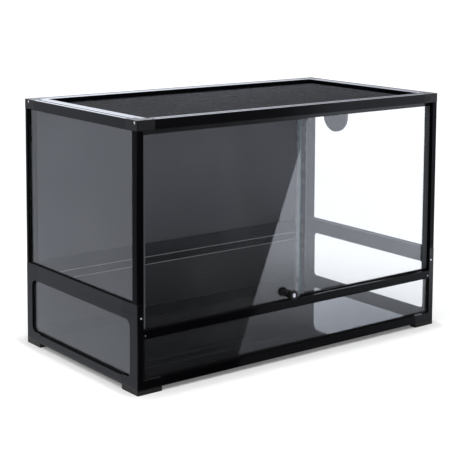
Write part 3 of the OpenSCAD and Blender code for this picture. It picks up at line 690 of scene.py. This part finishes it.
class MakeLock(bpy.types.Operator):
    """Makes the lock case with rounded edges, its plated backing plate, and the ribbed key knob"""

    bl_idname = "terrarium.make_lock"
    bl_label = "Door lock"

    def execute(self, context):
        look = settings().lock
        knob_low, knob_high = (Vector(c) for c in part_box("lock_knob"))
        case_low, case_high = (Vector(c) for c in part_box("lock_case"))
        plate_low, plate_high = (Vector(c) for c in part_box("lock_plate"))
        centre = (knob_low + knob_high) / 2
        gloss = black_finish("lock_gloss_black", look.black, (0.06, 0.06, 0.06), 0.0003,
                             grain=400.0, rough=(0.24, 0.32), depth=0.01, wear=0.15, gloss=0.22)
        satin = plated_finish("satin_plated", look.plated, 0.2, 1200.0, (0.05, 1, 1))
        # case
        bm = bmesh.new()
        near, _far = prism(bm, lock_outline(0), plate_low.y - case_low.y)
        bmesh.ops.translate(bm, vec=(0, case_low.y, 0), verts=bm.verts)
        bmesh.ops.bevel(bm, geom=list(near.edges), offset=look.edge, offset_type="OFFSET", affect="EDGES",
                        segments=4, profile=0.5, material=-1)
        along = Matrix.Rotation(-pi / 2, 4, "X")
        collar = bmesh.new()
        depth = case_high.y - plate_low.y + MM
        lathe(collar, [(5.05 * MM, 0), (9 * MM, 0), (9 * MM, depth), (5.05 * MM, depth), (5.05 * MM, 0)],
              Matrix.Translation((centre.x, plate_low.y - MM, centre.z)) @ along)
        hole = bmesh.new()
        lathe(hole, [(0, -MM), (5.05 * MM, -MM), (5.05 * MM, 9 * MM), (0, 9 * MM)],
              Matrix.Translation((centre.x, case_low.y, centre.z)) @ along)
        place("lock_case_rounded", joined([cut(bm, hole), collar]), gloss, "door_left",
              ["lock_case"])
        # backing plate
        bm = bmesh.new()
        near, _far = prism(bm, lock_outline(1.4), plate_high.y - plate_low.y)
        bmesh.ops.translate(bm, vec=(0, plate_low.y, 0), verts=bm.verts)
        bmesh.ops.bevel(bm, geom=list(near.edges), offset=0.3 * MM, offset_type="OFFSET", affect="EDGES",
                        segments=2, profile=0.5, material=-1)
        hole = bmesh.new()
        lathe(hole, [(0, -MM), (9.2 * MM, -MM), (9.2 * MM, 9 * MM), (0, 9 * MM)],
              Matrix.Translation((centre.x, plate_low.y, centre.z)) @ along)
        place("lock_backing_plate", cut(bm, hole), satin, "door_left", ["lock_plate"])
        # knob
        bm = bmesh.new()
        steps = look.ribs * 4
        outline = []
        for i in range(steps):
            r = look.knob_radius * (0.93 if i % 4 == 0 else 1.0)
            a = 2 * pi * i / steps
            outline.append((r * cos(a), r * sin(a)))
        long = case_low.y - 0.3 * MM - knob_low.y
        near, _far = prism(bm, outline, long)
        bmesh.ops.bevel(bm, geom=list(near.edges), offset=0.9 * MM, offset_type="OFFSET", affect="EDGES",
                        segments=3, profile=0.5, material=-1)
        bmesh.ops.translate(bm, vec=(centre.x, knob_low.y, centre.z), verts=bm.verts)
        well = bmesh.new()
        lathe(well, [(0, -MM), (6.6 * MM, -MM), (6.2 * MM, 1.2 * MM), (0, 1.2 * MM)],
              Matrix.Translation((centre.x, knob_low.y, centre.z)) @ along)
        stem = bmesh.new()
        lathe(stem, [(0, 0), (5 * MM, 0), (5 * MM, knob_high.y - knob_low.y - long + MM),
                     (0, knob_high.y - knob_low.y - long + MM)],
              Matrix.Translation((centre.x, knob_low.y + long - MM, centre.z)) @ along)
        place("ribbed_knob", joined([cut(bm, well), stem]), gloss, "lock", ["lock_knob"])
        # key face
        bm = bmesh.new()
        lathe(bm, [(0, 0.25 * MM), (4.6 * MM, 0.25 * MM), (5.2 * MM, 0.7 * MM), (5.2 * MM, 1.3 * MM),
                   (0, 1.3 * MM)],
              Matrix.Translation((centre.x, knob_low.y, centre.z)) @ along)
        slot = bar((6.0 * MM, 1.6 * MM, 1.2 * MM), (centre.x, knob_low.y, centre.z))
        place("key_face", cut(bm, slot), satin, "lock")
        dress(gloss, "lock_cam", "lock_catch")
        return {"FINISHED"}


class MakePaintedHighlightLines(bpy.types.Operator):
    """Lays two pale strips along the inside of the rear lower bar, painted highlight lines"""

    bl_idname = "terrarium.make_beads"
    bl_label = "Rear bar painted highlights"

    def execute(self, context):
        low, high = (Vector(c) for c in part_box("lower_bar_rear"))
        proud, tall = 0.5 * MM, 1.1 * MM
        bm = bmesh.new()
        for z in (low.z + 0.2 * MM, high.z - 11 * MM):
            rows = [(0, 0), (-proud, tall * 0.3), (-proud, tall * 0.7), (0, tall)]
            ends = [
                [bm.verts.new((x, low.y + y, z + up)) for y, up in rows]
                for x in (HIGHLIGHT_LINE_INSET - HALF_W, HALF_W - HIGHLIGHT_LINE_INSET)
            ]
            for i in range(4):
                j = (i + 1) % 4
                bm.faces.new((ends[0][i], ends[0][j], ends[1][j], ends[1][i]))
            bm.faces.new(ends[0])
            bm.faces.new(ends[1])
        look = settings().frame
        # Pale colour that paints highlight lines along the bar.
        pale = black_finish("pale_painted_highlight", look.painted_highlight_colour, look.painted_highlight_colour, 0.0002,
                            grain=900.0, stretch=(0.004, 1, 1), rough=(0.3, 0.4), depth=0.006, wear=0.0)
        place("rear_bar_painted_highlights", bm, pale, "frame")
        return {"FINISHED"}


class DressPort(bpy.types.Operator):
    """Gives the cable port a satin moulded finish"""

    bl_idname = "terrarium.dress_port"
    bl_label = "Cable port"

    def execute(self, context):
        look = settings().frame
        satin = black_finish("port_black", look.port_colour, look.worn_colour, 0.0006,
                             grain=1300.0, rough=(0.3, 0.42), depth=0.03, wear=0.35)
        dress(satin, "port_ring", "port_nut", "port_cap")
        return {"FINISHED"}


def seen_rays(tree):
    """1 for what the camera sees straight, mirrored or through glass, else 0."""
    path = put(tree, "ShaderNodeLightPath")
    bent = calc(tree, "MAXIMUM", path.outputs["Is Glossy Ray"], path.outputs["Is Transmission Ray"])
    return calc(tree, "MAXIMUM", path.outputs["Is Camera Ray"], bent)


def flat_mesh(name, points):
    """A stage object with one flat face through the points."""
    bm = bmesh.new()
    bm.faces.new([bm.verts.new(p) for p in points])
    mesh = bpy.data.meshes.new(name)
    bm.to_mesh(mesh)
    bm.free()
    held = bpy.data.objects.new(name, mesh)
    bpy.context.scene.collection.objects.link(held)
    return held


def painted_reflection_card(name, points, start, end, glow_start, glow_end):
    """A painted reflection: a glowing card seen only in reflections and through glass; its glow changes from
    the point start to the point end.
    """
    held = flat_mesh(name, points)
    for way in ("camera", "diffuse", "shadow", "volume_scatter"):
        setattr(held, f"visible_{way}", False)
    material, tree = new_material(name)
    here = put(tree, "ShaderNodeTexCoord").outputs["Object"]
    run = Vector(end) - Vector(start)
    along = put(tree, "ShaderNodeVectorMath", {"operation": "DOT_PRODUCT"}, _0=here, _1=run / run.length)
    base = Vector(start).dot(run) / run.length
    glow = put(tree, "ShaderNodeEmission", Color=(0.86, 0.90, 1.0, 1),
               Strength=spread(tree, along.outputs["Value"], base, base + run.length, glow_start, glow_end))
    close_material(tree, glow.outputs[0])
    held.data.materials.append(material)
    return held


class MakeStudio(bpy.types.Operator):
    """Makes the pale floor with a painted shadow edge, the cards of painted reflection, the even light, soft
    lamps and camera
    """

    bl_idname = "terrarium.make_studio"
    bl_label = "Studio"

    def execute(self, context):
        look = settings().studio
        scene = context.scene
        # floor
        half = FLOOR_HALF
        floor = flat_mesh("floor", [(-half, -half, 0), (half, -half, 0), (half, half, 0), (-half, half, 0)])
        material, tree = new_material("pale_floor")
        seen = seen_rays(tree)
        here = put(tree, "ShaderNodeTexCoord").outputs["Object"]
        # Painted shadow: for seen rays the floor glows less within the shadow reach round the model, half as
        # far out at the left and right sides, so the floor there is darker; farther out the glow makes it
        # evenly white.
        middle = Vector((0, (FRONT_Y + REAR_Y) / 2, 0))
        inward = vector_calc(tree, "ABSOLUTE", vector_calc(tree, "SUBTRACT", here, middle))
        past = vector_calc(tree, "SUBTRACT", inward, (HALF_W, REAR_Y - middle.y, 0))
        past = vector_calc(tree, "MULTIPLY", past, (2, 1, 1))
        away = put(tree, "ShaderNodeVectorMath", {"operation": "LENGTH"},
                   _0=vector_calc(tree, "MAXIMUM", past))
        lift = spread(tree, away.outputs["Value"], look.painted_shadow_reach * 0.45, look.painted_shadow_reach,
                      look.near_lift, look.far_lift)
        lift = calc(tree, "ADD", lift, spread(tree, away.outputs["Value"], 1.2, 4.5, 0, look.sky_lift))
        matt = put(tree, "ShaderNodeBsdfPrincipled", Base_Color=rgba(look.floor_colour), Roughness=0.8,
                   Emission_Color=(1, 1, 1, 1), Emission_Strength=calc(tree, "MULTIPLY", seen, lift))
        close_material(tree, matt.outputs[0])
        floor.data.materials.append(material)
        # painted reflections: a dark glowing card before the doors, with a bright one at its right, seen only
        # in reflections and through glass
        low, near, far = 2 * MM, FRONT_Y - 0.02, -5.9
        split = [(-0.165, near, low), (5.137, far, low)]
        painted_reflection_card("front_painted_dark_reflection", [(-3.0, near, low), *split, (-3.0, far, low)],
                       (0.0, -0.5, 0), (1.2, -2.6, 0), 0.05, 0.30)
        painted_reflection_card("floor_painted_reflection", [*split, (9.0, far, low), (9.0, near, low)],
                       (0.15, -0.35, 0), (0.8, -0.95, 0), 0.45, look.floor_painted_reflection)
        # painted reflection: a grey glowing card at the left, seen only in reflections and through glass
        beside = -HALF_W - 0.02
        painted_reflection_card("left_painted_grey_reflection", [(beside, -0.6, low), (beside, REAR_Y + 0.3, low), (-2.0, 6.0, low),
                                     (-6.0, 6.0, low), (-2.0, -0.6, low)],
                       (-0.6, 0, 0), (-1.6, 0, 0), 0.78, 0.62)
        # painted reflection: a bright glowing card behind, seen only in reflections and through glass
        behind = 2.2
        painted_reflection_card("behind_painted_bright_reflection", [(0.2, behind, 0.72), (3.4, behind, 0.72), (3.4, behind, 2.2),
                                           (0.2, behind, 2.2)],
                       (1.0, behind, 0), (2.6, behind, 0), look.backdrop_painted_reflection, look.backdrop_painted_reflection * 0.5)
        # even light
        world = bpy.data.worlds.new("even_light")
        scene.world = world
        world.use_nodes = True
        tree = world.node_tree
        tree.nodes.clear()
        seen = seen_rays(tree)
        sky = put(tree, "ShaderNodeBackground", Color=(1, 1, 1, 1),
                  Strength=spread(tree, seen, 0, 1, look.ambient, 1.0))
        put(tree, "ShaderNodeOutputWorld", Surface=sky.outputs[0])
        # lamps
        for name, power, size, place_at in (
            ("top_lamp", look.top_power, 2.4, (-0.4, -0.6, 2.6)),
            ("side_lamp", look.side_power, 1.6, (-2.4, -0.4, 1.5)),
        ):
            lamp = bpy.data.lights.new(name, "AREA")
            lamp.energy = power
            lamp.size = size
            held = bpy.data.objects.new(name, lamp)
            held.location = place_at
            held.rotation_euler = (Vector((0, 0, 0.3)) - Vector(place_at)).to_track_quat("-Z", "Y").to_euler()
            held.visible_camera = False
            scene.collection.objects.link(held)
        # camera
        camera = bpy.data.cameras.new("camera")
        camera.lens = look.lens
        camera.sensor_width = 36
        camera.shift_x, camera.shift_y = CAMERA_SHIFT
        camera.clip_end = 100
        held = bpy.data.objects.new("camera", camera)
        turn, drop, roll = (radians(a) for a in CAMERA_ANGLES)
        forward = Vector((sin(turn) * cos(drop), cos(turn) * cos(drop), -sin(drop)))
        right = Vector((cos(turn), -sin(turn), 0))
        up = right.cross(forward)
        right, up = right * cos(roll) + up * sin(roll), up * cos(roll) - right * sin(roll)
        facing = Matrix((right, up, -forward)).transposed().to_4x4()
        held.matrix_world = Matrix.Translation(CAMERA_PLACE) @ facing
        scene.collection.objects.link(held)
        scene.camera = held
        scene.view_settings.view_transform = "Standard"
        return {"FINISHED"}


class TERRARIUM_PT_sidebar(bpy.types.Panel):
    """Lists the steps in the sidebar"""

    bl_idname = "TERRARIUM_PT_sidebar"
    bl_label = "Terrarium"
    bl_space_type = "VIEW_3D"
    bl_region_type = "UI"
    bl_category = "Terrarium"

    def draw(self, context):
        for step in STEPS:
            self.layout.operator(step.bl_idname)
        for group in ("frame", "glass", "screen", "lock", "studio"):
            box = self.layout.box()
            box.label(text=group.capitalize())
            values = getattr(context.scene.terrarium, group)
            for key in values.bl_rna.properties.keys():
                if key not in ("rna_type", "name"):
                    box.prop(values, key)


STEPS = (
    DressFrame,
    DressConnectors,
    DressGlass,
    DressPanels,
    MakeScreen,
    MakeScrews,
    MakeLock,
    MakePaintedHighlightLines,
    DressPort,
    MakeStudio,
)
GROUPS = (
    FrameFinishSettings,
    GlassSettings,
    ScreenSettings,
    LockSettings,
    StudioSettings,
    TerrariumSettings,
)


def register():
    """Adds the settings, steps and panel."""
    for each in (*GROUPS, *STEPS, TERRARIUM_PT_sidebar):
        bpy.utils.register_class(each)
    bpy.types.Scene.terrarium = PointerProperty(type=TerrariumSettings)


def unregister():
    """Removes them again."""
    del bpy.types.Scene.terrarium
    for each in reversed((*GROUPS, *STEPS, TERRARIUM_PT_sidebar)):
        bpy.utils.unregister_class(each)


def main():
    """Runs every step in order."""
    register()
    for step in STEPS:
        group, name = step.bl_idname.split(".")
        getattr(getattr(bpy.ops, group), name)()


if __name__ == "__main__":
    main()
